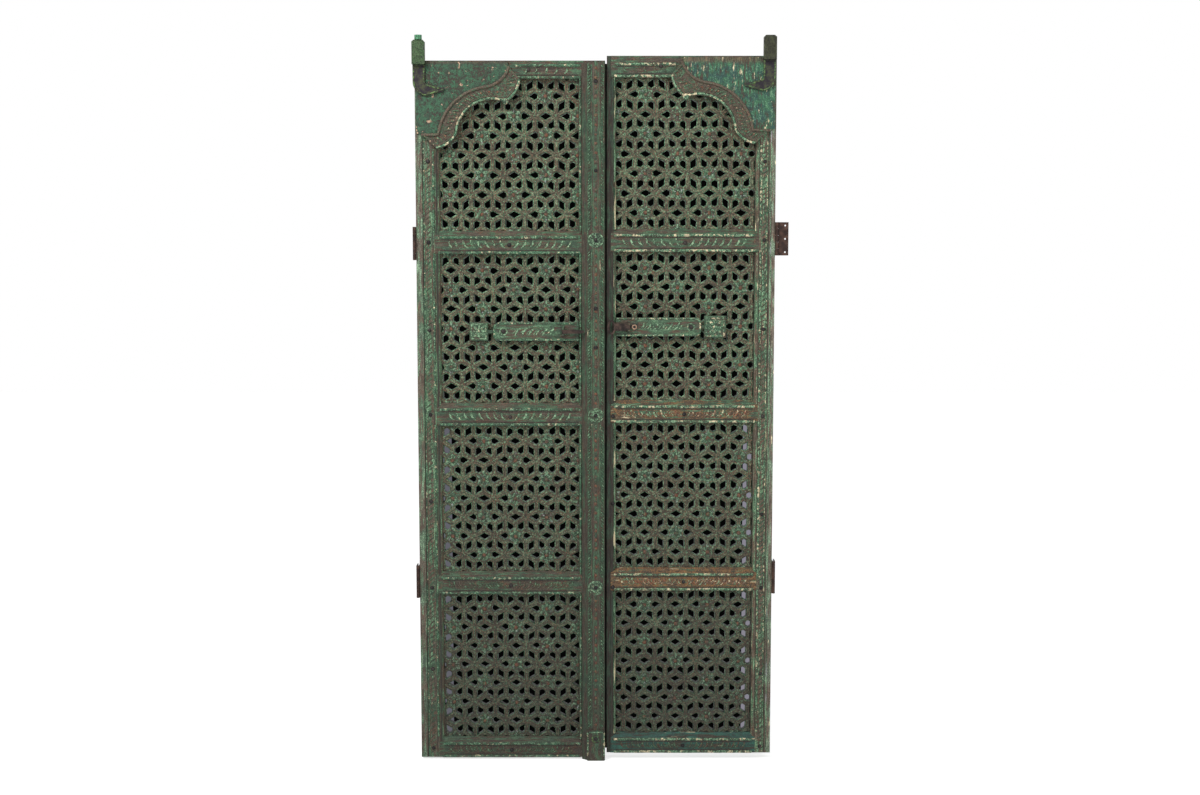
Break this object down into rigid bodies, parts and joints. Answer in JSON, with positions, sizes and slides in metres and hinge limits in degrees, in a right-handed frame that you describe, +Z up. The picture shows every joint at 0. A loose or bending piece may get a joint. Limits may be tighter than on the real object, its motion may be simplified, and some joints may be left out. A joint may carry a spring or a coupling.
{
  "type": "pair of jali doors",
  "caption": "Pair of tall narrow wooden doors with pierced flower lattice panels, cusped corner arches, iron pivots and hasps, hung on butt hinges.",
  "frame": {"origin": "middle of the outer flat face of the left lower jamb hinge plate", "axes": "+Z up, +X from the left door to the right door, -Y out of the carved front"},
  "size_m": [1.133, 0.075, 2.214],
  "materials": {
    "frame_wood": "worn green paint over brown wood",
    "lattice_wood": "worn green paint over brown wood",
    "carved_wood": "worn green and cream paint over carved brown wood",
    "spandrel_wood": "worn teal paint with cream chips",
    "wrought_iron": "dark forged iron with remains of green paint",
    "hinge_steel": "dark rusted hinge steel"
  },
  "bodies": {
    "jamb_plates": {"left_upper_jamb_plate": "hinge_steel", "left_lower_jamb_plate": "hinge_steel", "right_upper_jamb_plate": "hinge_steel", "right_lower_jamb_plate": "hinge_steel"},
    "left_leaf": {"left_hinge_stile": "frame_wood", "left_meeting_stile": "frame_wood", "left_top_rail": "frame_wood", "left_rail_1": "frame_wood", "left_rail_2": "frame_wood", "left_rail_3": "frame_wood", "left_bottom_rail": "frame_wood", "left_jali_1": "lattice_wood", "left_jali_2": "lattice_wood", "left_jali_3": "lattice_wood", "left_jali_4": "lattice_wood", "left_spandrel": "spandrel_wood", "left_arch": "carved_wood", "left_latch_arm": "carved_wood", "left_latch_block": "carved_wood", "left_pivot_bracket": "wrought_iron", "left_staple": "wrought_iron", "left_upper_door_plate": "hinge_steel", "left_lower_door_plate": "hinge_steel", "left_cover_strip": "carved_wood"},
    "right_leaf": {"right_hinge_stile": "frame_wood", "right_meeting_stile": "frame_wood", "right_top_rail": "frame_wood", "right_rail_1": "frame_wood", "right_rail_2": "frame_wood", "right_rail_3": "frame_wood", "right_bottom_rail": "frame_wood", "right_jali_1": "lattice_wood", "right_jali_2": "lattice_wood", "right_jali_3": "lattice_wood", "right_jali_4": "lattice_wood", "right_spandrel": "spandrel_wood", "right_arch": "carved_wood", "right_latch_arm": "carved_wood", "right_latch_block": "carved_wood", "right_pivot_bracket": "wrought_iron", "right_staple": "wrought_iron", "right_upper_door_plate": "hinge_steel", "right_lower_door_plate": "hinge_steel"},
    "left_hasp": {"left_hasp": "wrought_iron"},
    "right_hasp": {"right_hasp": "wrought_iron"}
  },
  "joints": [
    {"name": "left_leaf_hinge", "type": "hinge", "parent": "jamb_plates", "child": "left_leaf", "pos_m": [0.005, -0.0225, 0], "axis": [0, 0, -1], "range_deg": [0, 120]},
    {"name": "right_leaf_hinge", "type": "hinge", "parent": "jamb_plates", "child": "right_leaf", "pos_m": [1.098, -0.0225, 0.014], "axis": [0, 0, 1], "range_deg": [0, 120]},
    {"name": "left_hasp_pivot", "type": "hinge", "parent": "left_leaf", "child": "left_hasp", "pos_m": [0.4525, -0.0335, 0.77], "axis": [0, 0, -1], "range_deg": [0, 150]},
    {"name": "right_hasp_pivot", "type": "hinge", "parent": "right_leaf", "child": "right_hasp", "pos_m": [0.6525, -0.0335, 0.784], "axis": [0, 0, 1], "range_deg": [0, 150]}
  ]
}
